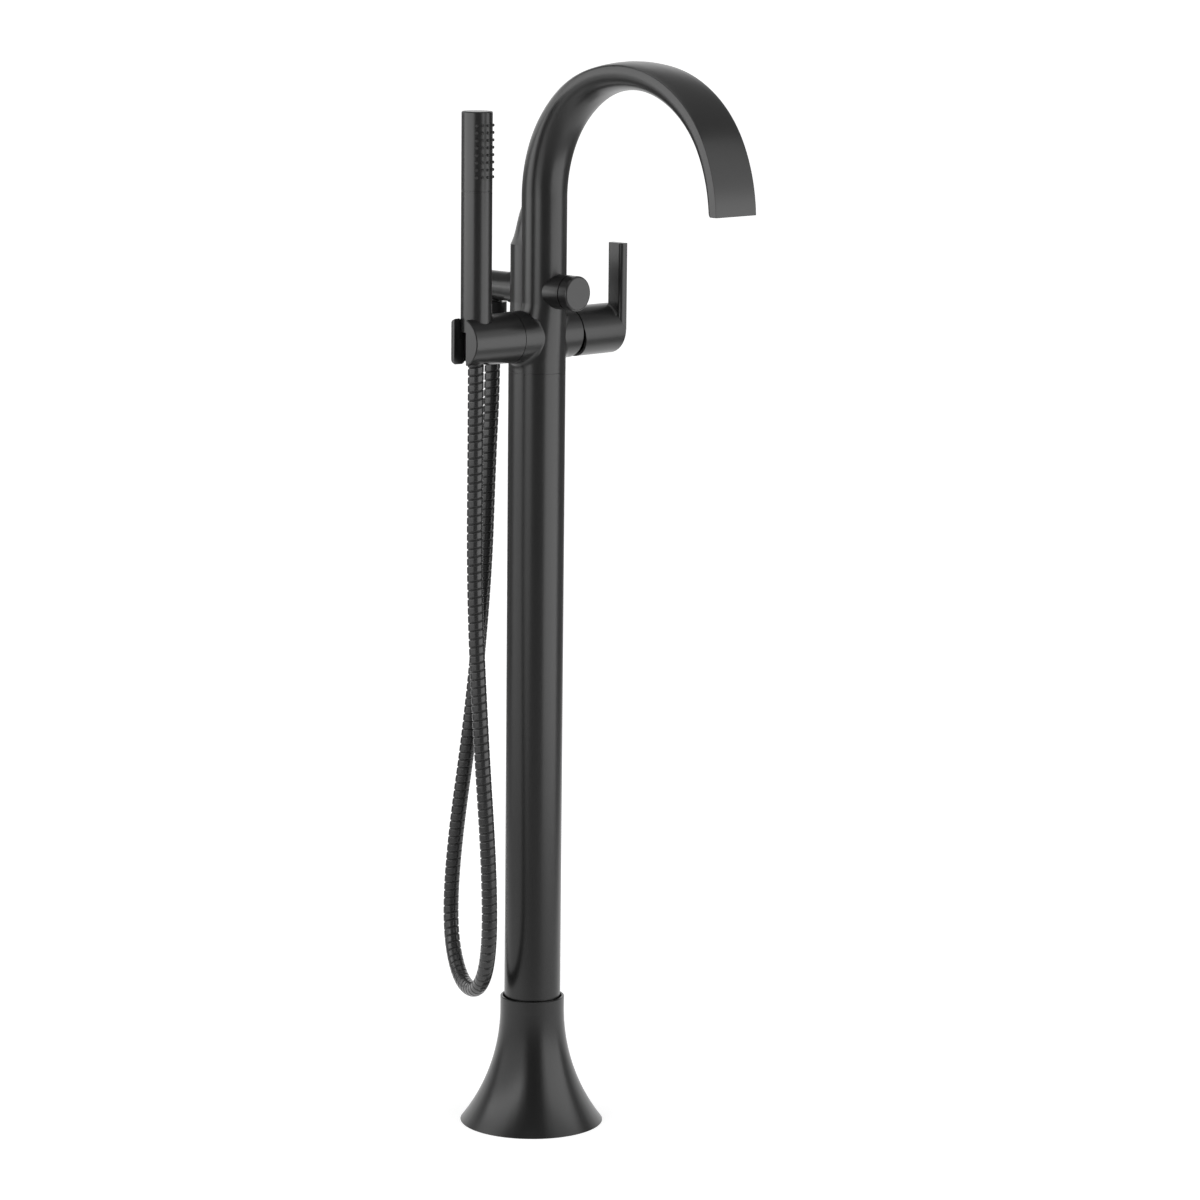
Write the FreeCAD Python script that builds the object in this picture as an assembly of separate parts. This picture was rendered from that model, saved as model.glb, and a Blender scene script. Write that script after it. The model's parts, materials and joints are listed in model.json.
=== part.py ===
import FreeCAD
import Part
import math
import os

# Floor-standing tub filler with a hand shower, in millimetres.
# The origin is the centre of the base on the floor. +Z is up, the spout points to -Y,
# the mixer handle to +X, the hand shower's cradle to -X and the hose outlet to +Y.

Vec = FreeCAD.Vector
X_AXIS = Vec(1, 0, 0)
Y_AXIS = Vec(0, 1, 0)
Z_AXIS = Vec(0, 0, 1)

# Clearances
slip = 0.05            # between pieces that are pushed together
running = 0.06         # between a turning or sliding piece and its guide
apart = 0.3            # between pieces that move past each other

# Column and supply
column_radius = 27.5
column_wall = 2.0
column_top = 742.0
column_screw_radius = 2.5
column_screw_count = 3
column_screw_height = 36.0
plate_ledge = 3.0
pipe_radius = 6.0
pipe_wall = 1.0
pipe_insert_depth = 14.0
inlet_bottom = 2.0
inlet_length = 30.0
inlet_rim_gap = 1.3
inlet_half_gap = 1.2
inlet_bore_radius = 5.2
inlet_bore_depth = 14.0
inlet_socket_depth = 12.0
clip_height = 400.0
clip_thickness = 8.0
clip_rim_gap = 0.2

# Floor plate and its cover
plate_thickness = 8.0
plate_rim = 22.45
socket_wall = 6.0
socket_top = 52.0
anchor_count = 4
anchor_hole_radius = 4.5
anchor_offset = 12.45
cover_height = 126.0
cover_wall = 2.6
cover_margin = 11.4
collar_height = 13.0
collar_lip = 1.5
collar_wall = 2.3
collar_edge = 0.6
cover_seal_drop = 4.0

# Valve body: heights are rises above the piece below
spigot_length = 22.0
body_seal_rise = 9.0
boss_rise = 35.3
boss_inset = 3.0
boss_stand = 11.0
boss_fillet = 7.0
drum_below_crown = 7.0
blend_start = 10.0
blend_above_boss = 7.0
tube_radius = 21.8
tube_wall = 2.9
tube_offset = 8.3
lobe_radius = 20.3
lobe_offset = 8.4
lobe_rise = 43.0
shoulder_height = 46.2
chamber_floor = 5.5
waterway_radius = 4.0
waterway_place = 8.0
seal_section = 1.3
seam_height = 0.5
seam_depth = 0.9

# Shoulder over the lobe: share of its height, shift to the front and draw-in of the radius
shoulder_sections = [
    (0.00, 0.0, 0.0),
    (0.33, 5.0, 1.5),
    (0.66, 8.5, 2.5),
    (0.95, 12.0, 6.0),
]

# Spout arch: share of the turn, half width, half thickness and corner radius
arch_radius = 119.8
arch_fullness = 1.6
arch_end_angle = 181.0
root_corner_gap = 0.3
spout_wall = 2.4
spout_root_lap = 2.5
spout_sections = [
    (0.00, tube_radius, tube_radius, tube_radius - root_corner_gap, tube_radius - root_corner_gap),
    (0.12, 22.9, 17.6, 17.2, 17.2),
    (0.25, 24.7, 13.0, 12.2, 12.6),
    (0.40, 26.2, 10.7, 7.2, 9.8),
    (0.55, 26.7, 9.2, 3.2, 6.6),
    (0.70, 27.0, 7.3, 1.7, 4.0),
    (0.85, 26.9, 6.0, 1.2, 2.8),
    (0.94, 26.8, 5.5, 1.0, 2.2),
    (1.00, 26.8, 5.3, 1.0, 2.0),
]
inner_corner_least = 0.6
spout_spigot_length = 22.0
former_length = 9.0
former_recess = 1.2
former_slot_count = 7
former_slot_width = 4.6
former_rim = 0.8

# Mixer cartridge and handle
handle_rim_step = 0.3
handle_wall = 2.4
handle_gap = 1.8
handle_length = 57.7
handle_end_wall = 20.0
handle_bevel_angle = 17.0
handle_bevel_rise = 5.0
handle_end_edge = 0.4
cartridge_start = 5.0
cartridge_recess = 5.5
cartridge_play = 3.8
turret_start = 16.0
turret_wall = 6.0
turret_neck_step = 2.5
turret_nose = 6.0
nut_stand_out = 8.5
tilt_from_nut = 3.0
pin_radius = 1.6
pin_inset = 0.5
stem_radius = 4.0
stem_tail = 7.5
stem_tail_room = 2.0
stem_seat = 15.0
blade_thickness = 7.5
blade_width = 19.0
blade_height = 84.0
blade_near_edge = 4.5
blade_far_edge = 2.2
blade_root_radius = 4.0
blade_rim_step = 0.1
handle_screw_radius = 2.5
handle_plug_length = 3.0

# Diverter
diverter_above_boss = 2.2
diverter_bore_radius = 8.0
knob_radius = 16.7
knob_length = 11.0
knob_gap = 1.2
knob_edge = 2.0
knob_seat_depth = 7.0
collar_length = 12.6
collar_spigot_length = 15.9
diverter_stem_radius = 4.0
diverter_stem_inner_end = 8.0
diverter_seal_depth = 5.9
piston_length = 8.0

# Hose outlet at the back
elbow_radius = 14.0
elbow_edge = 5.0
elbow_ring_step = 1.4
elbow_ring_stand = 1.5
elbow_ring_length = 3.0
elbow_spigot_gap = 8.0
elbow_overhang = 15.5
outlet_reach = 30.4
outlet_radius = 9.0
outlet_neck_length = 1.5
outlet_thread_radius = 7.6
outlet_nut_wall = 5.6
outlet_nut_length = 17.6
nut_top_gap = 0.4
washer_thickness = 2.0
water_bore_radius = 4.5

# Hand shower and cradle
wand_reach = 43.2
wand_radius = 14.7
wand_seat_rise = 8.7
wand_handle_length = 132.4
wand_wall = 2.2
wand_floor = 4.4
head_wall = 2.0
head_floor = 4.0
head_roof = 3.0
head_edge = 1.2
head_joint_length = 10.0
wand_thread_radius = 8.5
wand_thread_length = 14.0
nozzle_rows = 5
nozzle_columns = 8
nozzle_row_angle = 22.5
nozzle_pitch = 6.9
nozzle_start = 13.6
nozzle_end_margin = 13.0
nozzle_radius = 1.4
nozzle_stand_out = 1.6
nozzle_tip_edge = 1.0
nozzle_mat_thickness = 1.2
nozzle_mat_edge_angle = 5.0
arm_rim_step = 0.2
arm_tip_reach = 20.9
arm_tip_radius = 23.0
arm_edge = 0.8
jaw_rim_step = 0.9
liner_wall = 1.0
liner_inset = 0.6
liner_step_depth = 7.0
cradle_bolt_radius = 5.0
cradle_bolt_in_body = 20.0
cradle_bolt_in_arm = 22.0

# Hose
hose_radius = 7.6
hose_groove_depth = 0.6
hose_bore_radius = 5.0
hose_rib_pitch = 7.9
hose_rib_crest = 0.78
hose_rib_slope = 0.05
hose_slot_clearance = 0.35
hose_in_nut = 8.0
cone_nut_length = 30.0
cone_nut_taper = 10.0
cone_nut_wall = 2.5
cone_tip_wall = 1.75
hose_points = [
    (-81.7, 0.0, 764.0),
    (-81.7, 0.0, 686.0),
    (-83.3, -1.0, 536.0),
    (-81.1, -8.7, 397.0),
    (-75.6, -16.3, 261.0),
    (-76.2, -17.2, 177.0),
    (-58.7, 16.7, 137.0),
    (-35.4, 66.0, 137.0),
    (-17.4, 99.4, 177.0),
    (-15.6, 96.3, 261.0),
    (-8.6, 77.9, 397.0),
    (-4.8, 65.5, 536.0),
    (-4.3, 61.8, 645.0),
    (0.0, 60.6, 729.0),
    (0.0, 60.6, 795.2),
]

# Sizes that follow: base and column
column_bore = column_radius - column_wall
socket_bore = column_radius + slip
socket_radius = socket_bore + socket_wall
plate_radius = socket_radius + plate_rim
plate_opening = column_bore - plate_ledge
anchor_circle_radius = socket_radius + anchor_offset
base_radius = plate_radius + cover_margin + cover_wall
cover_bore = column_radius + collar_lip
collar_radius = cover_bore + collar_wall
inlet_radius = (plate_opening - inlet_rim_gap - inlet_half_gap) / 2
pipe_spacing = inlet_radius + inlet_half_gap
inlet_top = inlet_bottom + inlet_length
pipe_bottom = inlet_top - inlet_socket_depth
spigot_radius = column_bore - slip
spigot_bottom = column_top - spigot_length
pipe_top = spigot_bottom + pipe_insert_depth

# Sizes that follow: valve body and spout
boss_height = column_top + boss_rise
boss_radius = column_radius - boss_inset
boss_end = column_radius + boss_stand
boss_top = boss_height + boss_radius
drum_top = boss_top - drum_below_crown
blend_bottom = column_top + blend_start
blend_top = boss_top + blend_above_boss
diverter_height = boss_top + diverter_above_boss + knob_radius
lobe_top = diverter_height + lobe_rise
arch_height = lobe_top + shoulder_height
chamber_bottom = diverter_height + diverter_bore_radius + chamber_floor
tube_bore_radius = tube_radius - tube_wall
tube_front_place = tube_offset + tube_radius
spout_root_wall = tube_wall + spout_root_lap

# Sizes that follow: mixer and diverter
handle_radius = boss_radius - handle_rim_step
handle_bore_radius = handle_radius - handle_wall
handle_start = boss_end + handle_gap
handle_end = handle_start + handle_length
handle_bore_end = handle_end - handle_end_wall
blade_top = boss_height + blade_height
blade_start = handle_end - blade_thickness
blade_near_side = blade_rim_step - handle_radius
blade_far_side = blade_near_side + blade_width
cartridge_radius = handle_bore_radius - cartridge_play
cartridge_end = boss_end - cartridge_recess
turret_radius = cartridge_radius - turret_wall
turret_neck_radius = turret_radius - turret_neck_step
nut_end = boss_end + nut_stand_out
tilt_centre = nut_end + tilt_from_nut
turret_end = tilt_centre + turret_nose
stem_start = tilt_centre - stem_tail
pin_length = 2 * (turret_neck_radius - pin_inset)
collar_end = tube_front_place + collar_length
knob_start = collar_end + knob_gap
knob_end = knob_start + knob_length
collar_spigot_end = tube_front_place - collar_spigot_length
diverter_seal_place = tube_front_place - diverter_seal_depth

# Sizes that follow: hose side and hand shower
elbow_start = lobe_offset + lobe_radius + elbow_ring_stand
elbow_ring_radius = elbow_radius + elbow_ring_step
outlet_place = elbow_start + outlet_reach
elbow_end = outlet_place + elbow_overhang
outlet_neck_bottom = diverter_height - elbow_radius - outlet_neck_length
outlet_nut_radius = outlet_thread_radius + outlet_nut_wall
outlet_nut_top = outlet_neck_bottom - nut_top_gap
outlet_nut_bottom = outlet_nut_top - outlet_nut_length
wand_place = -boss_end - wand_reach
wand_bottom = boss_height + wand_seat_rise
head_seam = wand_bottom + wand_handle_length
nozzle_bottom = head_seam + nozzle_start
wand_top = nozzle_bottom + (nozzle_columns - 1) * nozzle_pitch + nozzle_end_margin
cone_nut_radius = wand_thread_radius + cone_nut_wall
cone_nut_tip_radius = hose_radius + slip + cone_tip_wall
cone_nut_bottom = wand_bottom - cone_nut_length
cone_washer_top = wand_bottom - wand_thread_length - slip
cone_washer_bottom = cone_washer_top - washer_thickness
arm_end = wand_place - arm_tip_reach
arm_root_radius = boss_radius - arm_rim_step
jaw_round_radius = arm_root_radius - jaw_rim_step
cradle_bore_radius = wand_radius + apart + liner_wall + slip
liner_neck_radius = cone_nut_radius + 2 * apart
cradle_neck_radius = liner_neck_radius + liner_wall + slip
cradle_step = wand_bottom - liner_step_depth
slot_half = hose_radius + hose_slot_clearance


def rod(radius, start, end):
    """Solid cylinder between two points."""
    axis = end - start
    return Part.makeCylinder(radius, axis.Length, start, axis)


def pipe(outer, inner, start, end):
    """Cylinder with a bore right through it."""
    axis = end - start
    over = Vec(axis).normalize()
    return rod(outer, start, end).cut(rod(inner, start - over, end + over))


def along_x(x, z=boss_height):
    return Vec(x, 0, z)


def along_y(y, z=diverter_height):
    return Vec(0, y, z)


def upright(z, x=0.0, y=0.0):
    return Vec(x, y, z)


def seal_ring(middle_radius, section_radius, centre, axis):
    return Part.makeTorus(middle_radius, section_radius, centre, axis)


def box(x0, x1, y0, y1, z0, z1):
    return Part.makeBox(x1 - x0, y1 - y0, z1 - z0, Vec(x0, y0, z0))


def fuse_all(shapes):
    whole = shapes[0]
    for shape in shapes[1:]:
        whole = whole.fuse(shape)
    return whole


def cut_all(shape, tools):
    for tool in tools:
        shape = shape.cut(tool)
    return shape


def edges_at(shape, test):
    """Edges whose every end and middle point passes the test."""
    chosen = []
    for edge in shape.Edges:
        first, last = edge.ParameterRange
        points = [edge.valueAt(first + (last - first) * share) for share in (0.02, 0.5, 0.98)]
        if all(test(point) for point in points):
            chosen.append(edge)
    return chosen


def circle_wire(radius, centre, axis=Z_AXIS):
    return Part.Wire([Part.Circle(centre, axis, radius).toShape()])


def loft(wires, ruled=False):
    return Part.makeLoft(wires, True, ruled)


# Base and column


def make_floor_plate():
    plate = rod(plate_radius, upright(0), upright(plate_thickness))
    socket = rod(socket_radius, upright(0), upright(socket_top))
    body = fuse_all([plate, socket])
    tools = [
        rod(socket_bore, upright(plate_thickness), upright(socket_top + 1)),
        rod(plate_opening, upright(-1), upright(plate_thickness + 1)),
    ]
    for index in range(anchor_count):
        angle = math.radians(45 + index * 360 / anchor_count)
        x = anchor_circle_radius * math.cos(angle)
        y = anchor_circle_radius * math.sin(angle)
        tools.append(rod(anchor_hole_radius, upright(-1, x, y), upright(plate_thickness + 1, x, y)))
    for inner, outer in column_screw_lines(0.0, 2.0):
        tools.append(rod(column_screw_radius + slip, inner, outer))
    return cut_all(body, tools)


def column_screw_lines(inner_gap, outer_run):
    """Inner and outer end of each screw that locks the column in its socket."""
    lines = []
    for index in range(column_screw_count):
        angle = math.radians(90 + index * 360 / column_screw_count)
        out = Vec(math.cos(angle), math.sin(angle), 0)
        level = upright(column_screw_height)
        lines.append((level + out * (column_radius + inner_gap), level + out * (socket_radius + outer_run)))
    return lines


def make_column_screws():
    screws = [rod(column_screw_radius, inner, outer) for inner, outer in column_screw_lines(0.02, 0.0)]
    return Part.makeCompound(screws)


def flare_arc(radius_top, radius_bottom, z_top, z_bottom):
    """Concave arc that leaves the collar upright and runs out to the floor."""
    drop = z_top - z_bottom
    spread = radius_bottom - radius_top
    arc_radius = (drop * drop + spread * spread) / (2 * spread)
    half = math.asin(drop / arc_radius) / 2
    middle = Vec(radius_top + arc_radius * (1 - math.cos(half)), 0, z_top - arc_radius * math.sin(half))
    return Part.Arc(Vec(radius_top, 0, z_top), middle, Vec(radius_bottom, 0, z_bottom)).toShape()


def make_base_cover():
    flare_top = cover_height - collar_height
    inner_bottom_radius = base_radius - cover_wall
    lip_bottom = flare_top - 1.0
    rim_radius = collar_radius - collar_edge
    rim_bottom = cover_height - collar_edge
    outer_arc = flare_arc(collar_radius, base_radius, flare_top, 0.0)
    inner_arc = flare_arc(cover_bore, inner_bottom_radius, lip_bottom, 0.0)
    outline = Part.Wire([
        outer_arc,
        Part.makeLine(Vec(base_radius, 0, 0), Vec(inner_bottom_radius, 0, 0)),
        inner_arc,
        Part.makeLine(Vec(cover_bore, 0, lip_bottom), Vec(cover_bore, 0, cover_height)),
        Part.makeLine(Vec(cover_bore, 0, cover_height), Vec(rim_radius, 0, cover_height)),
        Part.makeLine(Vec(rim_radius, 0, cover_height), Vec(collar_radius, 0, rim_bottom)),
        Part.makeLine(Vec(collar_radius, 0, rim_bottom), Vec(collar_radius, 0, flare_top)),
    ])
    return Part.Face(outline).revolve(Vec(), Z_AXIS, 360)


def make_cover_seal():
    section = (collar_lip - 2 * slip) / 2
    centre = upright(cover_height - cover_seal_drop)
    return seal_ring(column_radius + collar_lip / 2, section, centre, Z_AXIS)


def make_column_tube():
    return pipe(column_radius, column_bore, upright(plate_thickness), upright(column_top))


def make_supply_pipe(side):
    x = side * pipe_spacing
    return pipe(pipe_radius, pipe_radius - pipe_wall, upright(pipe_bottom, x), upright(pipe_top, x))


def make_inlet(side):
    x = side * pipe_spacing
    body = rod(inlet_radius, upright(inlet_bottom, x), upright(inlet_top, x))
    tools = [
        rod(inlet_bore_radius, upright(inlet_bottom - 1, x), upright(inlet_bottom + inlet_bore_depth, x)),
        rod(pipe_radius - pipe_wall, upright(inlet_bottom, x), upright(inlet_top, x)),
        rod(pipe_radius + slip, upright(pipe_bottom, x), upright(inlet_top + 1, x)),
    ]
    return cut_all(body, tools)


def make_pipe_clip():
    disc = rod(column_bore - clip_rim_gap, upright(clip_height), upright(clip_height + clip_thickness))
    tools = []
    for side in (-1, 1):
        x = side * pipe_spacing
        bottom = upright(clip_height - 1, x)
        tools.append(rod(pipe_radius + slip, bottom, upright(clip_height + clip_thickness + 1, x)))
    return cut_all(disc, tools)


# Valve body and spout


def tube_front(radius, bottom, top):
    """Cylinder on the axis of the rising tube."""
    return rod(radius, upright(bottom, 0, -tube_offset), upright(top, 0, -tube_offset))


def lobe_shoulder():
    """Back lobe's shoulder, which draws in to the rising tube."""
    wires = []
    for share, shift, draw_in in shoulder_sections:
        centre = upright(lobe_top + shoulder_height * share, 0, lobe_offset - shift)
        wires.append(circle_wire(lobe_radius - draw_in, centre))
    return loft(wires)


def boss_drum():
    """Drum below the rising tube, with both bosses blended into it by a fillet."""
    boss = rod(boss_radius, along_x(-boss_end), along_x(boss_end))
    drum = rod(column_radius, upright(column_top), upright(boss_height + 2 * boss_radius))
    whole = drum.fuse(boss).removeSplitter()

    def on_boss_root(point):
        off_axis = math.hypot(point.y, point.z - boss_height)
        return abs(off_axis - boss_radius) < 0.05 and 1 < abs(point.x) < boss_end - 1

    whole = whole.makeFillet(boss_fillet, edges_at(whole, on_boss_root))
    wide = 2 * boss_end
    above = box(-wide, wide, -wide, wide, drum_top, drum_top + 4 * boss_radius)
    boss_crown = boss.common(above.translated(Vec(0, 0, -1)))
    return whole.cut(above), boss_crown


def body_outside():
    foot = circle_wire(column_radius - 0.01, upright(blend_bottom))
    front = loft([
        foot,
        circle_wire(tube_radius, upright(blend_top, 0, -tube_offset)),
        circle_wire(tube_radius, upright(arch_height, 0, -tube_offset)),
    ], True)
    back = loft([
        foot,
        circle_wire(lobe_radius, upright(blend_top, 0, lobe_offset)),
        circle_wire(lobe_radius, upright(lobe_top, 0, lobe_offset)),
    ], True)
    trunk = fuse_all([front, back, lobe_shoulder()])
    drum, boss_crown = boss_drum()
    return fuse_all([drum, trunk, boss_crown]).removeSplitter()


def make_valve_body():
    spigot = rod(spigot_radius, upright(spigot_bottom), upright(column_top + 1))
    body = fuse_all([body_outside(), spigot])
    groove_floor = spigot_radius - 2 * seal_section
    groove_height = spigot_bottom + body_seal_rise
    groove = pipe(
        spigot_radius + 1, groove_floor,
        upright(groove_height - seal_section - slip), upright(groove_height + seal_section + slip))
    seam = pipe(
        column_radius + 1, column_radius - seam_depth,
        upright(column_top), upright(column_top + seam_height))
    tools = [
        groove,
        seam,
        tube_front(tube_bore_radius, chamber_bottom, arch_height + 1),
        rod(waterway_radius, along_x(waterway_place), upright(chamber_bottom + 1, waterway_place)),
        rod(waterway_radius, along_x(-pipe_spacing), along_x(cartridge_start + 1)),
        rod(cartridge_radius + slip, along_x(cartridge_start), along_x(boss_end + 1)),
        rod(diverter_bore_radius, along_y(-2 * tube_radius), along_y(2 * tube_radius)),
        rod(cradle_bolt_radius + slip, along_x(-boss_end - 1), along_x(-boss_end + cradle_bolt_in_body)),
    ]
    for side in (-1, 1):
        x = side * pipe_spacing
        tools.append(rod(pipe_radius + slip, upright(spigot_bottom - 1, x), upright(pipe_top, x)))
        tools.append(rod(waterway_radius, upright(pipe_top - 1, x), along_x(x)))
    return cut_all(body, tools)


def make_body_seal():
    centre = upright(spigot_bottom + body_seal_rise)
    return seal_ring(spigot_radius - seal_section + slip / 2, seal_section - slip, centre, Z_AXIS)


def arch_reach(angle):
    """Distance of the arch's centre line from its centre: a circle with slightly full shoulders."""
    return arch_radius + arch_fullness * math.sin(2 * angle) ** 2


def arch_point(angle):
    """Point on the arch's centre line at an angle from the spring line."""
    reach = arch_reach(angle)
    centre_place = tube_offset + arch_radius
    return Vec(0, reach * math.cos(angle) - centre_place, arch_height + reach * math.sin(angle))


def arch_outward(angle):
    """Direction square to the arch's centre line, away from its centre."""
    reach = arch_reach(angle)
    growth = 2 * arch_fullness * math.sin(4 * angle)
    along_y_step = growth * math.cos(angle) - reach * math.sin(angle)
    along_z_step = growth * math.sin(angle) + reach * math.cos(angle)
    return Vec(0, along_z_step, -along_y_step).normalize()


def rounded_section(half_width, half_thickness, outer_corner, inner_corner, angle):
    """Rounded rectangle across the arch at an angle from the spring line."""
    centre = arch_point(angle)
    outward = arch_outward(angle)

    def place(across, out):
        return centre + X_AXIS * across + outward * out

    corners = {1: outer_corner, -1: inner_corner}
    edges = []
    for sign_x, sign_y in ((1, 1), (-1, 1), (-1, -1), (1, -1)):
        corner = corners[sign_y]
        flat_x = half_width - corner
        flat_y = half_thickness - corner
        turn = corner * math.sqrt(0.5)
        side_end = place(sign_x * half_width, sign_y * flat_y)
        middle = place(sign_x * (flat_x + turn), sign_y * (flat_y + turn))
        top_end = place(sign_x * flat_x, sign_y * half_thickness)
        if sign_x * sign_y > 0:
            edges.append(Part.Arc(side_end, middle, top_end).toShape())
            edges.append(Part.makeLine(top_end, place(-sign_x * flat_x, sign_y * half_thickness)))
        else:
            edges.append(Part.Arc(top_end, middle, side_end).toShape())
            other_flat = half_thickness - corners[-sign_y]
            edges.append(Part.makeLine(side_end, place(sign_x * half_width, -sign_y * other_flat)))
    return Part.Wire(edges)


def arch_loft(root_inset, tip_inset):
    """Arch of the spout, drawn in all round by an inset that changes from root to tip."""
    wires = []
    for share, half_width, half_thickness, outer_corner, inner_corner in spout_sections:
        angle = math.radians(share * arch_end_angle)
        inset = tip_inset + (root_inset - tip_inset) * (1 - share) ** 3
        outer_round = max(outer_corner - inset, inner_corner_least)
        inner_round = max(inner_corner - inset, inner_corner_least)
        wires.append(rounded_section(
            half_width - inset, half_thickness - inset, outer_round, inner_round, angle))
    return loft(wires)


def make_spout():
    spigot = tube_front(tube_bore_radius - slip, arch_height - spout_spigot_length, arch_height + 1)
    outside = fuse_all([arch_loft(0.0, 0.0), spigot])
    spigot_bore = tube_front(tube_bore_radius - 2 * spout_wall, chamber_bottom, arch_height + 0.5)
    groove_height = arch_height - spout_spigot_length / 2
    groove = pipe(
        tube_bore_radius + 1, tube_bore_radius - slip - 2 * seal_section,
        upright(groove_height - seal_section - slip, 0, -tube_offset),
        upright(groove_height + seal_section + slip, 0, -tube_offset))
    return cut_all(outside, [arch_loft(spout_root_wall, spout_wall), spigot_bore, groove])


def make_spout_seal():
    centre = upright(arch_height - spout_spigot_length / 2, 0, -tube_offset)
    return seal_ring(tube_bore_radius - seal_section - slip / 2, seal_section - slip, centre, Z_AXIS)


def make_stream_former():
    """Slotted insert in the outlet, square to the arch at its own middle."""
    half_width, half_thickness = spout_sections[-1][1:3]
    depth = former_recess + former_length / 2
    angle = math.radians(arch_end_angle) - depth / arch_radius
    half_x = half_width - spout_wall - apart
    half_y = half_thickness - spout_wall - apart
    half_z = former_length / 2
    block = box(-half_x, half_x, -half_y, half_y, -half_z, half_z)
    pitch = 2 * half_x / former_slot_count
    for index in range(former_slot_count):
        middle = -half_x + pitch * (index + 0.5)
        slot = box(
            middle - former_slot_width / 2, middle + former_slot_width / 2,
            -half_y + former_rim, half_y - former_rim, -half_z - 1, half_z + 1)
        block = block.cut(slot)
    block.rotate(Vec(), X_AXIS, math.degrees(angle) - 180)
    block.translate(arch_point(angle))
    return block


# Mixer cartridge and handle


def make_mixer_cartridge():
    body = rod(cartridge_radius, along_x(cartridge_start + slip), along_x(cartridge_end))
    seat = rod(turret_radius + running, along_x(turret_start), along_x(cartridge_end + 1))
    low = boss_height - cartridge_radius - 1
    high = boss_height + cartridge_radius + 1
    ports = [
        rod(waterway_radius, upright(low, pipe_spacing), along_x(pipe_spacing)),
        rod(waterway_radius, along_x(waterway_place), upright(high, waterway_place)),
        rod(waterway_radius, along_x(cartridge_start), along_x(turret_start + 1)),
    ]
    return cut_all(body, [seat] + ports)


def make_cartridge_nut():
    return pipe(cartridge_radius, turret_radius + running, along_x(cartridge_end + slip), along_x(nut_end))


def tilt_rod(radius, half_length):
    """Cylinder on the axis that the handle tilts about."""
    start = Vec(tilt_centre, -half_length, boss_height)
    return rod(radius, start, start + Y_AXIS * (2 * half_length))


def make_cartridge_turret():
    drum = rod(turret_radius, along_x(turret_start + slip), along_x(nut_end))
    neck = rod(turret_neck_radius, along_x(nut_end - 1), along_x(turret_end))
    body = fuse_all([drum, neck])
    slot_half_width = stem_radius + apart
    slot = box(
        stem_start - stem_tail_room, turret_end + 1, -slot_half_width, slot_half_width,
        boss_height - turret_radius - 1, boss_height + turret_radius + 1)
    return cut_all(body, [slot, tilt_rod(pin_radius + slip, turret_radius)])


def make_stem_pin():
    return tilt_rod(pin_radius, pin_length / 2)


def make_mixer_stem():
    stem = rod(stem_radius, along_x(stem_start), along_x(handle_bore_end + stem_seat))
    return stem.cut(tilt_rod(pin_radius + running, turret_radius))


def handle_hub():
    """Round hub whose lower inner half is cut back, so that it can tilt."""
    hub = rod(handle_radius, along_x(handle_start), along_x(handle_end))

    def on_end_rim(point):
        return abs(point.x - handle_end) < 0.01

    hub = hub.makeChamfer(handle_end_edge, edges_at(hub, on_end_rim))
    depth = 2 * handle_radius
    reach = math.tan(math.radians(handle_bevel_angle)) * depth
    high = boss_height + handle_bevel_rise
    wedge = Part.Face(Part.makePolygon([
        Vec(handle_start - 1, 0, high),
        Vec(handle_start, 0, high),
        Vec(handle_start + reach, 0, high - depth),
        Vec(handle_start - 1, 0, high - depth),
        Vec(handle_start - 1, 0, high),
    ]))
    wedge.translate(Vec(0, -2 * handle_radius, 0))
    return hub.cut(wedge.extrude(Vec(0, 4 * handle_radius, 0)))


def blade_root():
    """Hollow rounding between the blade's inner face and the top of the hub."""
    inner = blade_start - blade_root_radius
    foot = boss_height + handle_radius
    centre_height = foot + blade_root_radius
    turn = blade_root_radius * math.sqrt(0.5)
    deep = foot - 2
    outline = Part.Wire([
        Part.makeLine(Vec(blade_start + 1, 0, deep), Vec(blade_start + 1, 0, centre_height)),
        Part.makeLine(Vec(blade_start + 1, 0, centre_height), Vec(blade_start, 0, centre_height)),
        Part.Arc(
            Vec(blade_start, 0, centre_height), Vec(inner + turn, 0, centre_height - turn),
            Vec(inner, 0, foot)).toShape(),
        Part.makeLine(Vec(inner, 0, foot), Vec(inner, 0, deep)),
        Part.makeLine(Vec(inner, 0, deep), Vec(blade_start + 1, 0, deep)),
    ])
    ring = Part.Face(outline).revolve(along_x(0), X_AXIS, 360)
    return ring.common(box(
        inner - 1, blade_start + 2, blade_near_side + blade_near_edge, blade_far_side - blade_far_edge,
        boss_height, blade_top))


def handle_screw_rod(radius, upper, lower):
    """Upright cylinder below the stem's end, between two distances under the handle's axis."""
    x = handle_bore_end + stem_seat / 2
    return rod(radius, along_x(x, boss_height - upper), along_x(x, boss_height - lower))


def make_handle_lever():
    blade = box(blade_start, handle_end, blade_near_side, blade_far_side, boss_height, blade_top)

    def on_inner_edge(side):
        return lambda point: abs(point.x - blade_start) < 0.01 and abs(point.y - side) < 0.01

    blade = blade.makeFillet(blade_near_edge, edges_at(blade, on_inner_edge(blade_near_side)))
    blade = blade.makeFillet(blade_far_edge, edges_at(blade, on_inner_edge(blade_far_side)))
    body = fuse_all([handle_hub(), blade, blade_root()])
    tools = [
        rod(handle_bore_radius, along_x(handle_start - 1), along_x(handle_bore_end)),
        rod(stem_radius + slip, along_x(handle_bore_end - 1), along_x(handle_bore_end + stem_seat)),
        handle_screw_rod(handle_screw_radius + slip, 0, 2 * handle_radius),
    ]
    return cut_all(body, tools)


def make_handle_screw():
    tail = handle_radius - handle_plug_length - slip
    return handle_screw_rod(handle_screw_radius, stem_radius + slip, tail)


def make_handle_plug():
    return handle_screw_rod(handle_screw_radius, handle_radius - handle_plug_length, handle_radius)


# Diverter


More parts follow.
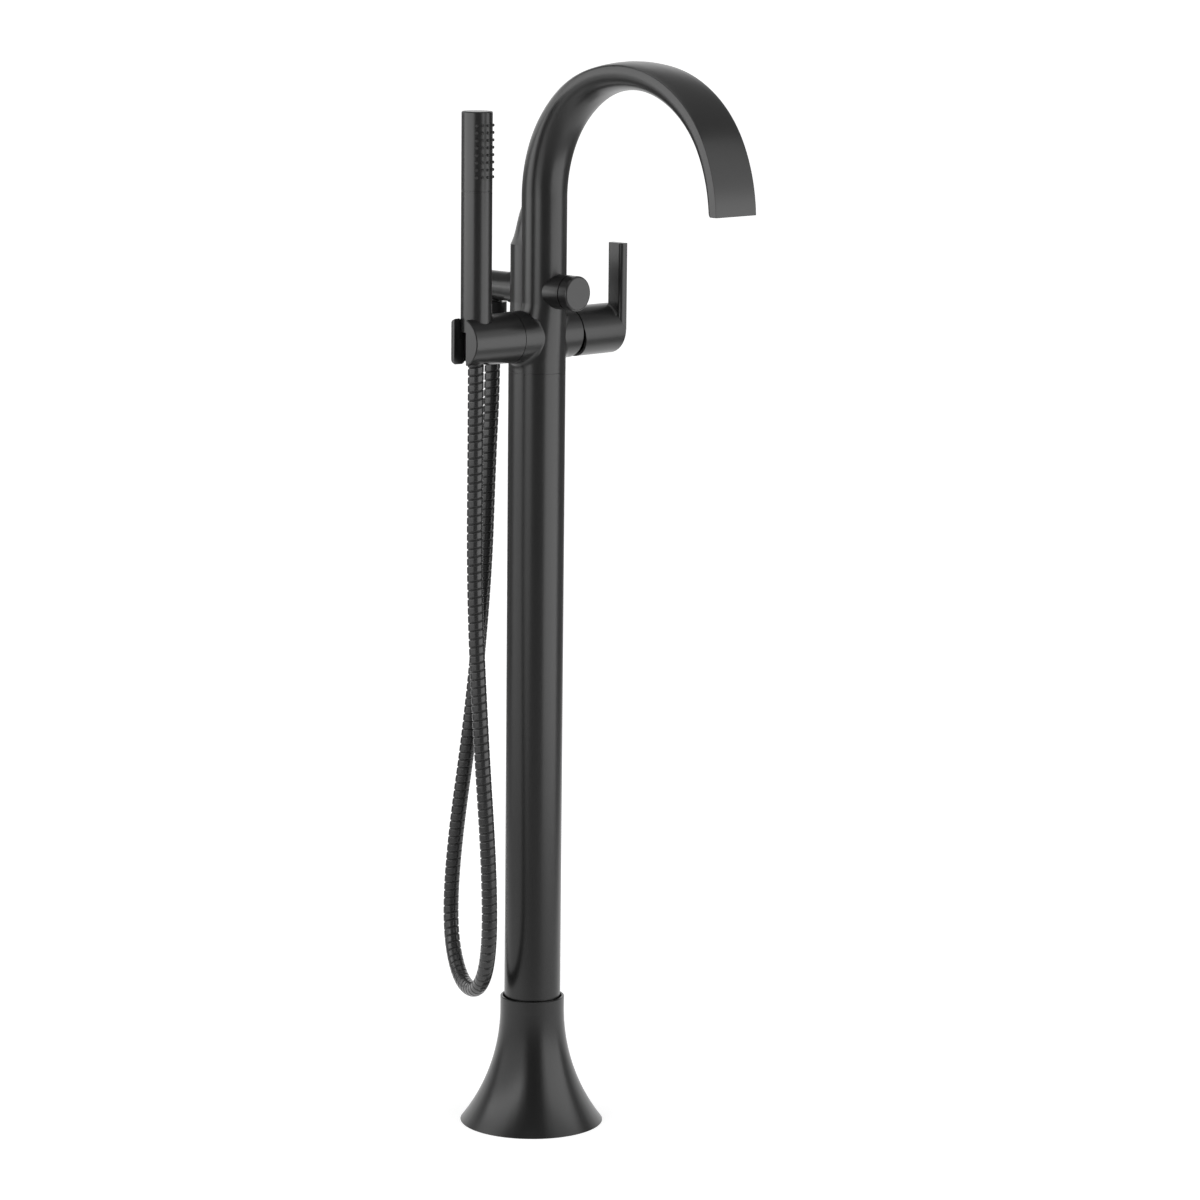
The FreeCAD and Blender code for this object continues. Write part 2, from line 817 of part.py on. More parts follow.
def make_diverter_collar():
    collar = rod(knob_radius, along_y(-tube_offset), along_y(-collar_end))
    reach = 2 * knob_radius
    collar = collar.cut(tube_front(tube_radius, diverter_height - reach, diverter_height + reach))
    spigot = rod(diverter_bore_radius - slip, along_y(-collar_spigot_end), along_y(-collar_end + 1))
    body = fuse_all([collar, spigot])
    bore = rod(diverter_stem_radius + running, along_y(0), along_y(-collar_end - 1))
    groove_radius = diverter_stem_radius + 2 * seal_section
    groove = rod(
        groove_radius, along_y(-diverter_seal_place + seal_section + slip),
        along_y(-diverter_seal_place - seal_section - slip))
    return cut_all(body, [bore, groove])


def make_diverter_seal():
    middle = diverter_stem_radius + seal_section + slip
    return seal_ring(middle, seal_section - 2 * slip, along_y(-diverter_seal_place), Y_AXIS)


def make_diverter_knob():
    knob = rod(knob_radius, along_y(-knob_start), along_y(-knob_end))

    def on_outer_rim(point):
        return abs(point.y + knob_end) < 0.01

    knob = knob.makeFillet(knob_edge, edges_at(knob, on_outer_rim))
    seat = rod(diverter_stem_radius + slip, along_y(-knob_start + 1), along_y(-knob_start - knob_seat_depth))
    return knob.cut(seat)


def make_diverter_stem():
    outer_end = -knob_start - knob_seat_depth
    return rod(diverter_stem_radius, along_y(diverter_stem_inner_end), along_y(outer_end))


def make_diverter_piston():
    start = diverter_stem_inner_end - piston_length
    outer = diverter_bore_radius - running
    return pipe(outer, diverter_stem_radius + slip, along_y(start), along_y(diverter_stem_inner_end))


# Hose outlet at the back


def make_elbow_ring():
    ring = rod(elbow_ring_radius, along_y(lobe_offset), along_y(elbow_start + elbow_ring_length))
    ring = ring.cut(rod(
        lobe_radius, upright(diverter_height - 2 * lobe_radius, 0, lobe_offset),
        upright(diverter_height + 2 * lobe_radius, 0, lobe_offset)))
    bore = rod(diverter_bore_radius, along_y(0), along_y(elbow_end))
    return ring.cut(bore)


def outlet_rod(radius, bottom, top):
    """Upright cylinder on the axis of the hose outlet."""
    return rod(radius, upright(bottom, 0, outlet_place), upright(top, 0, outlet_place))


def make_hose_elbow():
    start = elbow_start + elbow_ring_length
    stub = rod(elbow_radius, along_y(start), along_y(elbow_end))

    def on_far_rim(point):
        return abs(point.y - elbow_end) < 0.01

    stub = stub.makeFillet(elbow_edge, edges_at(stub, on_far_rim))
    spigot_end = diverter_stem_inner_end + elbow_spigot_gap
    spigot = rod(diverter_bore_radius - slip, along_y(spigot_end), along_y(start + 1))
    neck = outlet_rod(outlet_radius, outlet_neck_bottom, diverter_height)
    thread_bottom = outlet_nut_bottom + 2 * washer_thickness + hose_in_nut
    thread = outlet_rod(outlet_thread_radius, thread_bottom, outlet_neck_bottom + 1)
    body = fuse_all([stub, spigot, neck, thread])
    tools = [
        rod(water_bore_radius, along_y(0), along_y(outlet_place)),
        outlet_rod(water_bore_radius, outlet_nut_bottom, diverter_height),
    ]
    return cut_all(body, tools)


def make_hose_outlet_nut():
    body = outlet_rod(outlet_nut_radius, outlet_nut_bottom, outlet_nut_top)
    hose_end = outlet_nut_bottom + hose_in_nut
    tools = [
        outlet_rod(hose_radius + slip, outlet_nut_bottom - 1, hose_end),
        outlet_rod(outlet_thread_radius + slip, hose_end - 1, outlet_nut_top + 1),
    ]
    return cut_all(body, tools)


def make_hose_outlet_washer():
    bottom = outlet_nut_bottom + hose_in_nut + slip
    return pipe(
        outlet_thread_radius - slip, water_bore_radius,
        upright(bottom, 0, outlet_place), upright(bottom + washer_thickness, 0, outlet_place))


# Hand shower, cone nut and cradle


def wand_rod(radius, bottom, top):
    return rod(radius, upright(bottom, wand_place), upright(top, wand_place))


def wand_pipe(outer, inner, bottom, top):
    return pipe(outer, inner, upright(bottom, wand_place), upright(top, wand_place))


def make_hand_shower_handle():
    body = wand_rod(wand_radius, wand_bottom, head_seam)
    thread = wand_rod(wand_thread_radius, wand_bottom - wand_thread_length, wand_bottom + 1)
    outside = fuse_all([body, thread])
    tools = [
        wand_rod(wand_radius - wand_wall, wand_bottom + wand_floor, head_seam + 1),
        wand_rod(water_bore_radius, wand_bottom - wand_thread_length - 1, head_seam),
    ]
    return cut_all(outside, tools)


def nozzle_places():
    """Middle height and angle of each spray nozzle, rows spread about the front."""
    places = []
    for row in range(nozzle_rows):
        angle = (row - (nozzle_rows - 1) / 2) * nozzle_row_angle
        for column in range(nozzle_columns):
            places.append((nozzle_bottom + column * nozzle_pitch, angle))
    return places


def nozzle_rod(radius, inner, outer, height, angle):
    turn = math.radians(angle - 90)
    out = Vec(math.cos(turn), math.sin(turn), 0)
    centre = upright(height, wand_place)
    return rod(radius, centre + out * inner, centre + out * outer)


def outer_rim(pin, outer):
    """Edge of a nozzle that lies farthest from the axis of the hand shower."""
    def distance(edge):
        return math.hypot(edge.CenterOfMass.x - wand_place, edge.CenterOfMass.y)
    return max(pin.Edges, key=distance)


def make_hand_shower_head():
    body = wand_rod(wand_radius, head_seam, wand_top)

    def on_top_rim(point):
        return abs(point.z - wand_top) < 0.01

    body = body.makeFillet(head_edge, edges_at(body, on_top_rim))
    joint_radius = wand_radius - wand_wall - slip
    joint = wand_rod(joint_radius, head_seam - head_joint_length, head_seam + 1)
    outside = fuse_all([body, joint])
    groove_height = head_seam - head_joint_length / 2
    tools = [
        wand_rod(wand_radius - head_wall, head_seam + head_floor, wand_top - head_roof),
        wand_rod(
            joint_radius - 2 * head_wall, head_seam - head_joint_length - 1, head_seam + head_floor + 1),
        wand_pipe(wand_radius + 1, wand_radius - seam_depth, head_seam, head_seam + seam_height),
        wand_pipe(
            wand_radius, joint_radius - 2 * seal_section,
            groove_height - seal_section - slip, groove_height + seal_section + slip),
    ]
    inner = wand_radius - 2 * head_wall
    holes = []
    for height, angle in nozzle_places():
        holes.append(nozzle_rod(nozzle_radius + slip, inner, wand_radius + 1, height, angle))
    return cut_all(outside, tools).cut(Part.makeCompound(holes))


def make_head_seal():
    joint_radius = wand_radius - wand_wall - slip
    centre = upright(head_seam - head_joint_length / 2, wand_place)
    return seal_ring(joint_radius - seal_section + slip / 2, seal_section - slip, centre, Z_AXIS)


def make_spray_nozzles():
    """Rubber mat inside the head with a row of nozzles that reach through its wall."""
    mat_outer = wand_radius - head_wall - slip
    mat_bottom = nozzle_bottom - nozzle_pitch / 2
    mat_height = nozzle_columns * nozzle_pitch
    half_spread = (nozzle_rows / 2) * nozzle_row_angle + nozzle_mat_edge_angle
    mat = Part.makeCylinder(mat_outer, mat_height, Vec(), Z_AXIS, 2 * half_spread)
    core = Part.makeCylinder(mat_outer - nozzle_mat_thickness, mat_height + 2, Vec(0, 0, -1))
    mat = mat.cut(core)
    mat.rotate(Vec(), Z_AXIS, -90 - half_spread)
    mat.translate(upright(mat_bottom, wand_place))
    pins = []
    for height, angle in nozzle_places():
        inner = mat_outer - nozzle_mat_thickness / 2
        outer = wand_radius + nozzle_stand_out
        pin = nozzle_rod(nozzle_radius, inner, outer, height, angle)
        pins.append(pin.makeFillet(nozzle_tip_edge, [outer_rim(pin, outer)]))
    return mat.multiFuse(pins)


def make_hose_cone_nut():
    top = wand_bottom - apart
    waist = cone_nut_bottom + cone_nut_taper
    cone = Part.makeCone(
        cone_nut_tip_radius, cone_nut_radius, waist - cone_nut_bottom, upright(cone_nut_bottom, wand_place))
    body = fuse_all([cone, wand_rod(cone_nut_radius, waist, top)])
    hose_end = cone_nut_bottom + hose_in_nut
    tools = [
        wand_rod(hose_radius + slip, cone_nut_bottom - 1, hose_end),
        wand_rod(wand_thread_radius + slip, cone_washer_bottom - slip, top + 1),
        wand_rod(water_bore_radius, hose_end - 1, top),
    ]
    return cut_all(body, tools)


def make_hose_cone_washer():
    return wand_pipe(wand_thread_radius - slip, water_bore_radius, cone_washer_bottom, cone_washer_top)


def arm_cone(inset):
    """Tapered round arm, drawn in all round by the inset."""
    length = -boss_end - arm_end
    return Part.makeCone(
        arm_root_radius - inset, arm_tip_radius - inset, length, along_x(-boss_end), Vec(-1, 0, 0))


def hose_slot():
    return box(
        arm_end - 1, wand_place, -slot_half, slot_half,
        boss_height - 2 * arm_root_radius, boss_height + 2 * arm_root_radius)


def make_cradle_arm():
    arm = arm_cone(0.0)

    def on_end_rim(point):
        return abs(point.x - arm_end) < 0.01

    arm = arm.makeChamfer(arm_edge, edges_at(arm, on_end_rim))
    low = boss_height - 2 * arm_root_radius
    high = boss_height + 2 * arm_root_radius
    corner = box(arm_end - 1, wand_place, 0, 2 * arm_root_radius, low, high)
    corner = corner.cut(wand_rod(jaw_round_radius, low - 1, high + 1))
    seam = pipe(
        arm_root_radius + 1, arm_root_radius - seam_depth,
        along_x(-boss_end), along_x(-boss_end - seam_height))
    tools = [
        corner,
        seam,
        wand_rod(cradle_bore_radius, cradle_step, high),
        wand_rod(cradle_neck_radius, low, high),
        hose_slot(),
        rod(cradle_bolt_radius + slip, along_x(-boss_end + 1), along_x(-boss_end - cradle_bolt_in_arm)),
    ]
    return cut_all(arm, tools)


def make_cradle_liner():
    step_bottom = cradle_step + slip
    low = boss_height - arm_root_radius
    high = boss_height + arm_root_radius
    cup = wand_rod(cradle_bore_radius - slip, step_bottom, high)
    neck = wand_rod(cradle_neck_radius - slip, low, step_bottom + 1)
    body = fuse_all([cup, neck])
    tools = [
        wand_rod(wand_radius + apart, wand_bottom - apart, high + 1),
        wand_rod(liner_neck_radius, low - 1, high),
        hose_slot(),
    ]
    return cut_all(body, tools).common(arm_cone(liner_inset))


def make_cradle_bolt():
    inner = -boss_end + cradle_bolt_in_body - slip
    outer = -boss_end - cradle_bolt_in_arm + slip
    return rod(cradle_bolt_radius, along_x(inner), along_x(outer))


# Hose: straight runs and tangent arcs through the route, then ribs along it


def hose_path():
    """Edges of the hose's centre line, and the radius of each bend."""
    points = [Vec(*point) for point in hose_points]
    edges = []
    radii = []
    start = points[0]
    for before, corner, after in zip(points, points[1:], points[2:]):
        incoming = Vec(corner - before)
        outgoing = Vec(after - corner)
        trim = 0.45 * min(incoming.Length, outgoing.Length)
        half_turn = incoming.getAngle(outgoing) / 2
        radius = trim / math.tan(half_turn)
        first = corner - incoming.normalize() * trim
        last = corner + outgoing.normalize() * trim
        inward = (outgoing - incoming).normalize()
        middle = corner + inward * (radius / math.cos(half_turn) - radius)
        edges.append(Part.makeLine(start, first))
        edges.append(Part.Arc(first, middle, last).toShape())
        radii.append(radius)
        start = last
    edges.append(Part.makeLine(start, points[-1]))
    return edges, radii


def hose_stations(edges, distances):
    """Point and direction of the centre line at each distance from its start."""
    stations = []
    index = 0
    passed = 0.0
    for distance in distances:
        while index < len(edges) - 1 and distance > passed + edges[index].Length:
            passed += edges[index].Length
            index += 1
        edge = edges[index]
        share = min(max((distance - passed) / edge.Length, 0.0), 1.0)
        first, last = edge.ParameterRange
        parameter = first + (last - first) * share
        stations.append((edge.valueAt(parameter), edge.tangentAt(parameter)))
    return stations


def hose_circle(radius, point, direction):
    """Circle across the hose, whose seam always faces +X."""
    steady = X_AXIS - direction * X_AXIS.dot(direction)
    turn = FreeCAD.Rotation(steady, direction.cross(steady), direction, "ZXY")
    wire = circle_wire(radius, Vec())
    wire.Placement = FreeCAD.Placement(point, turn)
    return wire


def make_shower_hose():
    edges, radii = hose_path()
    length = sum(edge.Length for edge in edges)
    print("hose length %.1f, bend radii %s" % (length, [round(radius) for radius in radii]))
    rib_count = round(length / hose_rib_pitch)
    pitch = length / rib_count
    slope = hose_rib_slope * pitch
    groove = (1 - hose_rib_crest - 2 * hose_rib_slope) * pitch
    distances = []
    sizes = []
    for rib in range(rib_count):
        start = rib * pitch + groove / 2
        distances += [start, start + slope, start + slope + hose_rib_crest * pitch, start + pitch - groove]
        sizes += [hose_radius - hose_groove_depth, hose_radius, hose_radius, hose_radius - hose_groove_depth]
    stations = hose_stations(edges, distances)
    wires = [hose_circle(size, *station) for size, station in zip(sizes, stations)]
    outside = loft(wires, True)
    bore_wire = circle_wire(hose_bore_radius, Vec(*hose_points[0]) + Z_AXIS, Z_AXIS)
    spine = Part.Wire([Part.makeLine(Vec(*hose_points[0]) + Z_AXIS, edges[0].valueAt(0))] + edges)
    bore = spine.makePipeShell([bore_wire], True, False)
    return outside.cut(bore)


def build():
    return {
        "floor_plate": make_floor_plate(),
        "base_cover": make_base_cover(),
        "cover_seal": make_cover_seal(),
        "column_tube": make_column_tube(),
        "column_screws": make_column_screws(),
        "hot_pipe": make_supply_pipe(-1),
        "cold_pipe": make_supply_pipe(1),
        "hot_inlet": make_inlet(-1),
        "cold_inlet": make_inlet(1),
        "pipe_clip": make_pipe_clip(),
        "valve_body": make_valve_body(),
        "body_seal": make_body_seal(),
        "spout": make_spout(),
        "spout_seal": make_spout_seal(),
        "stream_former": make_stream_former(),
        "mixer_cartridge": make_mixer_cartridge(),
        "cartridge_nut": make_cartridge_nut(),
        "cartridge_turret": make_cartridge_turret(),
        "stem_pin": make_stem_pin(),
        "mixer_stem": make_mixer_stem(),
        "handle_lever": make_handle_lever(),
        "handle_screw": make_handle_screw(),
        "handle_plug": make_handle_plug(),
        "diverter_collar": make_diverter_collar(),
        "diverter_seal": make_diverter_seal(),
        "diverter_knob": make_diverter_knob(),
        "diverter_stem": make_diverter_stem(),
        "diverter_piston": make_diverter_piston(),
        "elbow_ring": make_elbow_ring(),
        "hose_elbow": make_hose_elbow(),
        "hose_outlet_nut": make_hose_outlet_nut(),
        "hose_outlet_washer": make_hose_outlet_washer(),
        "shower_hose": make_shower_hose(),
        "hose_cone_nut": make_hose_cone_nut(),
        "hose_cone_washer": make_hose_cone_washer(),
        "cradle_arm": make_cradle_arm(),
        "cradle_liner": make_cradle_liner(),
        "cradle_bolt": make_cradle_bolt(),
        "hand_shower_handle": make_hand_shower_handle(),
        "hand_shower_head": make_hand_shower_head(),
        "head_seal": make_head_seal(),
        "spray_nozzles": make_spray_nozzles(),
    }


def main():
    os.makedirs("parts", exist_ok=True)
    for name, shape in build().items():
        shape.exportStep("parts/%s.step" % name)


main()
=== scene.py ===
import json
import math

import bpy
import numpy as np
from mathutils import Matrix, Vector


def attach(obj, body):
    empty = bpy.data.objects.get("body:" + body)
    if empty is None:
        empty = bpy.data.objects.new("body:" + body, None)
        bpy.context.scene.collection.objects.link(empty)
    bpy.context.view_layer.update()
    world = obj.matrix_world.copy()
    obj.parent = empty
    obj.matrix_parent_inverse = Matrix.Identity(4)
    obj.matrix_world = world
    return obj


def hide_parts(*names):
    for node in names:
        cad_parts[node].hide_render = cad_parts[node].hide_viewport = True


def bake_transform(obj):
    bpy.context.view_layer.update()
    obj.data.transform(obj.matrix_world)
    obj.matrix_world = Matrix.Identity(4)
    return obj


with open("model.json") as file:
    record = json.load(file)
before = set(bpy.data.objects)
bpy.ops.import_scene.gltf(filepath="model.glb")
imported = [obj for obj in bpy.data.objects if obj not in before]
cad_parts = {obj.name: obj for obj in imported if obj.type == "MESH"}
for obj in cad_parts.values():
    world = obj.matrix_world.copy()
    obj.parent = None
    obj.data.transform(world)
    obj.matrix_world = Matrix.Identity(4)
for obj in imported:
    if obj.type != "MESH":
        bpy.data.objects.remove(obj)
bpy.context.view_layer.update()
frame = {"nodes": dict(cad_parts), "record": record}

# Floor-standing tub filler, in metres: satin black coating, spiral metal hose and hidden inner pieces.
# The spout points to -Y, the mixer handle to +X, the hand shower hangs at -X and the hose leaves at +Y.

# Camera, in the square picture of 1200 by 1200
picture_width = 1200
focal_length_in_pixels = 4312.6
sensor_width = 36.0
camera_far_limit = 200.0
camera_place = Vector((-2.9069, -2.9069, 1.2311))
camera_turn = math.radians(-45.873)
camera_dip = math.radians(9.812)
camera_roll = math.radians(0.586)

# Hose: its route's control points, from the outlet at the back to the hand shower, and its wound strip.
# Shares are parts of one turn of the strip; the blend runs across the loop's bottom.
hose_route = [
    (0.0, 0.0606, 0.7952),
    (0.0, 0.0606, 0.729),
    (-0.0043, 0.0618, 0.645),
    (-0.0048, 0.0655, 0.536),
    (-0.0086, 0.0779, 0.397),
    (-0.0156, 0.0963, 0.261),
    (-0.0174, 0.0994, 0.177),
    (-0.0354, 0.066, 0.1343),
    (-0.0587, 0.0167, 0.1343),
    (-0.0762, -0.0172, 0.177),
    (-0.0756, -0.0163, 0.261),
    (-0.0811, -0.0087, 0.397),
    (-0.0833, -0.001, 0.536),
    (-0.0817, 0.0, 0.686),
    (-0.0817, 0.0, 0.764),
]
hose_radius = 0.0076
hose_rib_pitch = 0.0079
hose_groove_depth = 0.0011
hose_groove_share = 0.12
hose_shoulder_share = 0.06
hose_points_around = 28
hose_steps_per_rib = 17
hose_line_order = 3
hose_line_steps = 48

# Spout: its centre line, and its sections by the share of the arch passed. Each section has a half width,
# how far it reaches outwards and inwards from the line, the depth of its outer half, the powers of its outer
# and inner half, and how far the middle of its outer face swells.
tube_offset = 0.0083
arch_height = 0.9099
arch_radius = 0.1198
arch_fullness = 0.0016
arch_end = math.radians(181.5)
spout_sections = np.array([
    (0.00, 0.0218, 0.0218, 0.0218, 0.0218, 2.0, 2.0, 0.0),
    (0.12, 0.0229, 0.0199, 0.0209, 0.0199, 2.0, 2.0, 0.0),
    (0.25, 0.0247, 0.0163, 0.0182, 0.0150, 2.1, 2.05, 0.0),
    (0.40, 0.0262, 0.0109, 0.0145, 0.0054, 4.5, 2.3, 0.0006),
    (0.48, 0.0265, 0.0101, 0.0141, 0.0036, 8.0, 2.5, 0.0027),
    (0.56, 0.0267, 0.0095, 0.0134, 0.0026, 12.0, 2.7, 0.0022),
    (0.70, 0.0270, 0.0074, 0.0124, 0.0020, 14.0, 3.1, 0.0008),
    (0.85, 0.0271, 0.0058, 0.0099, 0.0016, 16.0, 4.0, 0.0),
    (1.00, 0.0272, 0.0053, 0.0068, 0.0014, 16.0, 7.0, 0.0),
])
spout_rows = 170
spout_columns = 160
spout_sharp_angle = math.radians(50.0)
# Tip: how far it spreads outwards, its rounded inner lip, and the pocket of the outlet
tip_spread = 0.0022
tip_spread_share = 0.16
lip_round = 0.0022
lip_share = 0.012
lip_rows = 12
spout_wall = 0.0024
spout_pocket_power = 24.0
spout_pocket_shares = (1.0, 0.985, 0.97, 0.955)

# Painted shade: a near-black colour for the shade near the floor and in the hose's grooves. Between these
# heights the coating turns from this painted shade into its full tone
painted_shade_black = (0.003, 0.003, 0.003, 1.0)
floor_shade_heights = (0.08, 0.36)

# Studio, in the camera's own directions: right of the object, and towards the viewer
to_right = Vector((math.sqrt(0.5), -math.sqrt(0.5), 0.0))
to_viewer = Vector((-math.sqrt(0.5), -math.sqrt(0.5), 0.0))
upwards = Vector((0.0, 0.0, 1.0))
floor_radius = 60.0
floor_sides = 96
floor_drop = 0.0003
floor_colour = (0.5, 0.5, 0.5, 1.0)
# White sheet: its width beside the object and the gain in width per metre behind it, its front edge, and its
# glow, which has a smaller share near the object than far from it
paper_half_width = 0.56
paper_widening = 0.16
paper_fade = 0.5
paper_front = 0.2
paper_front_fade = 0.55
paper_glow = 0.95
paper_near_share = 0.7
paper_near = 0.2
paper_far = 1.2
# Room: light from all round, and from the wall behind between two shares of the way back and of the way up
room_light = 0.2
wall_light = 1.25
wall_edge = (0.35, 0.7)
wall_top = (0.3, 0.65)
overhead_width = 2.4
overhead_height = 2.6
overhead_radiance = 0.8
# Upright soft lights: degrees from the viewer to the right, distance, height, width, tallness and radiance
softboxes = {
    "left_low_softbox": (-62.0, 1.4, 0.33, 2.5, 0.6, 1.15),
    "left_middle_softbox": (-62.0, 1.4, 0.815, 2.5, 0.37, 3.1),
    "left_high_softbox": (-74.0, 1.4, 1.25, 3.3, 0.5, 1.8),
    "right_low_softbox": (66.0, 1.4, 0.55, 1.75, 1.1, 2.3),
    "right_high_softbox": (66.0, 1.4, 1.55, 1.75, 0.9, 1.1),
}


class Socket:
    """One output in a node tree. Sums with it add Math nodes, so that a pattern reads as a formula."""

    def __init__(self, tree, output=None):
        self.tree = tree
        self.output = output

    def node(self, kind, settings, inputs, output=0):
        """Adds a node, sets its settings first, then its inputs, and returns the named output."""
        made = self.tree.nodes.new(kind)
        for name, value in settings.items():
            setattr(made, name, value)
        for name, value in inputs.items():
            if isinstance(value, Socket):
                self.tree.links.new(value.output, made.inputs[name])
            else:
                made.inputs[name].default_value = value
        return Socket(self.tree, made.outputs[output])

    def maths(self, operation, first, second=0.0):
        return self.node("ShaderNodeMath", {"operation": operation}, {0: first, 1: second})

    def __add__(self, other):
        return self.maths("ADD", self, other)

    __radd__ = __add__

    def __mul__(self, other):
        return self.maths("MULTIPLY", self, other)

    __rmul__ = __mul__

    def __sub__(self, other):
        return self.maths("SUBTRACT", self, other)

    def __rsub__(self, other):
        return self.maths("SUBTRACT", other, self)

    def limited(self, low, high):
        return self.node("ShaderNodeClamp", {}, {"Value": self, "Min": low, "Max": high}, "Result")

    def stepped(self, low, high):
        """Smooth step from 0 at low to 1 at high."""
        inputs = {"Value": self, "From Min": low, "From Max": high}
        return self.node("ShaderNodeMapRange", {"interpolation_type": "SMOOTHSTEP"}, inputs, "Result")

    def along(self, direction):
        """How far this vector goes in a direction: their dot product."""
        settings = {"operation": "DOT_PRODUCT"}
        return self.node("ShaderNodeVectorMath", settings, {0: self, 1: direction}, "Value")

    def colours(self, dark, pale):
        """Colour between two colours by this value; the numbers are the Mix node's colour sockets."""
        return self.node("ShaderNodeMix", {"data_type": "RGBA"}, {0: self, 6: dark, 7: pale}, 2)


class Finish:
    """One material: its node tree, its shader and the coordinates that its patterns read."""

    def __init__(self, name, **constants):
        self.material = bpy.data.materials.new(name)
        self.material.use_nodes = True
        self.tree = self.material.node_tree
        self.shader = self.tree.nodes["Principled BSDF"]
        self.start = Socket(self.tree)
        self.place = self.start.node("ShaderNodeTexCoord", {}, {}, "Object")
        for socket, value in constants.items():
            self.shader.inputs[socket.replace("_", " ")].default_value = value

    def feed(self, socket, value):
        self.tree.links.new(value.output, self.shader.inputs[socket])

    def noise(self, scale, detail=2.0, roughness=0.5, place=None):
        inputs = {"Vector": place or self.place, "Scale": scale, "Detail": detail, "Roughness": roughness}
        return self.start.node("ShaderNodeTexNoise", {}, inputs, "Fac")

    def stretched(self, scale):
        return self.start.node("ShaderNodeMapping", {}, {"Vector": self.place, "Scale": scale}, "Vector")

    def bumps(self, height, depth, strength):
        """Relief whose height value stands for the depth in metres."""
        inputs = {"Height": height, "Distance": depth, "Strength": strength}
        self.feed("Normal", self.start.node("ShaderNodeBump", {}, inputs, "Normal"))


def grey(value):
    return (value, value, value, 1.0)


def satin_coating(name, dark, pale, smooth, rough):
    """Sprayed satin coating: a fine grain of about half a millimetre and slow changes of tone and gloss.
    Towards the floor it turns a deeper black, which is painted shade."""
    finish = Finish(name, Metallic=0.0, IOR=1.5)
    grain = finish.noise(scale=2100.0, detail=3.0, roughness=0.6)
    fleck = finish.noise(scale=700.0)
    cloud = finish.noise(scale=9.0, detail=3.0)
    tone = (cloud * 0.7 + grain * 0.3).limited(0.0, 1.0)
    # painted shade: near the floor the colour goes to near black, standing in for the shade there
    clear_of_floor_shade = finish.place.along(upwards).stepped(*floor_shade_heights)
    finish.feed("Base Color", clear_of_floor_shade.colours(painted_shade_black, tone.colours(dark, pale)))
    gloss = cloud * 0.5 + fleck * 0.2 + grain * 0.3
    finish.feed("Roughness", gloss * (rough - smooth) + smooth)
    finish.bumps(grain * 0.7 + fleck * 0.3, depth=0.00002, strength=0.5)
    return finish.material


def turned_metal(name, dark, pale, roughness):
    """Bare turned or drawn metal: fine rings across the piece's length and a few dull spots."""
    finish = Finish(name, Metallic=1.0)
    rings = finish.noise(scale=1.0, detail=3.0, roughness=0.6, place=finish.stretched((90.0, 90.0, 2600.0)))
    spots = finish.noise(scale=120.0, detail=4.0, roughness=0.6)
    tone = (rings * 0.6 + spots * 0.4).limited(0.0, 1.0)
    finish.feed("Base Color", tone.colours(dark, pale))
    finish.feed("Roughness", spots * 0.2 + rings * 0.15 + roughness)
    finish.bumps(rings, depth=0.00004, strength=0.4)
    return finish.material


def zinc_plate(name):
    """Zinc-plated steel: crystal patches of slightly different grey, with a fine tooth."""
    finish = Finish(name, Metallic=1.0)
    inputs = {"Vector": finish.place, "Scale": 130.0}
    patch = finish.start.node("ShaderNodeTexVoronoi", {}, inputs, "Distance")
    tooth = finish.noise(scale=1500.0)
    cloud = finish.noise(scale=25.0, detail=3.0)
    tone = (patch * 0.5 + cloud * 0.5).limited(0.0, 1.0)
    finish.feed("Base Color", tone.colours((0.38, 0.38, 0.39, 1.0), (0.62, 0.62, 0.64, 1.0)))
    finish.feed("Roughness", patch * 0.2 + cloud * 0.15 + 0.3)
    finish.bumps(tooth, depth=0.00005, strength=0.4)
    return finish.material


def moulded(name, dark, pale, roughness, grain_size):
    """Moulded rubber or plastic: a spark-eroded skin with slow changes of tone."""
    finish = Finish(name, Metallic=0.0, IOR=1.48)
    skin = finish.noise(scale=1.0 / grain_size, detail=3.0, roughness=0.6)
    cloud = finish.noise(scale=40.0)
    tone = (skin * 0.4 + cloud * 0.6).limited(0.0, 1.0)
    finish.feed("Base Color", tone.colours(dark, pale))
    finish.feed("Roughness", skin * 0.12 + cloud * 0.06 + roughness)
    finish.bumps(skin, depth=0.00006, strength=0.5)
    return finish.material


def hose_skin(name):
    """Coated strip wound into a hose: darker in the grooves, as painted shade, and brighter and smoother on
    the crowns.
    """
    finish = Finish(name, Metallic=0.0, IOR=1.5)
    crown = finish.start.node("ShaderNodeAttribute", {"attribute_name": "crown"}, {}, "Fac")
    grain = finish.noise(scale=2400.0)
    cloud = finish.noise(scale=60.0, detail=3.0)
    # painted shade: the grooves take the near-black shade colour and the crowns take the strip's tone, with
    # a little random tone mixed in
    tone = (crown * 0.75 + cloud * 0.25).limited(0.0, 1.0)
    finish.feed("Base Color", tone.colours(painted_shade_black, (0.022, 0.022, 0.0225, 1.0)))
    finish.feed("Roughness", 0.5 - crown * 0.3 + cloud * 0.08)
    finish.bumps(grain, depth=0.00002, strength=0.4)
    return finish.material


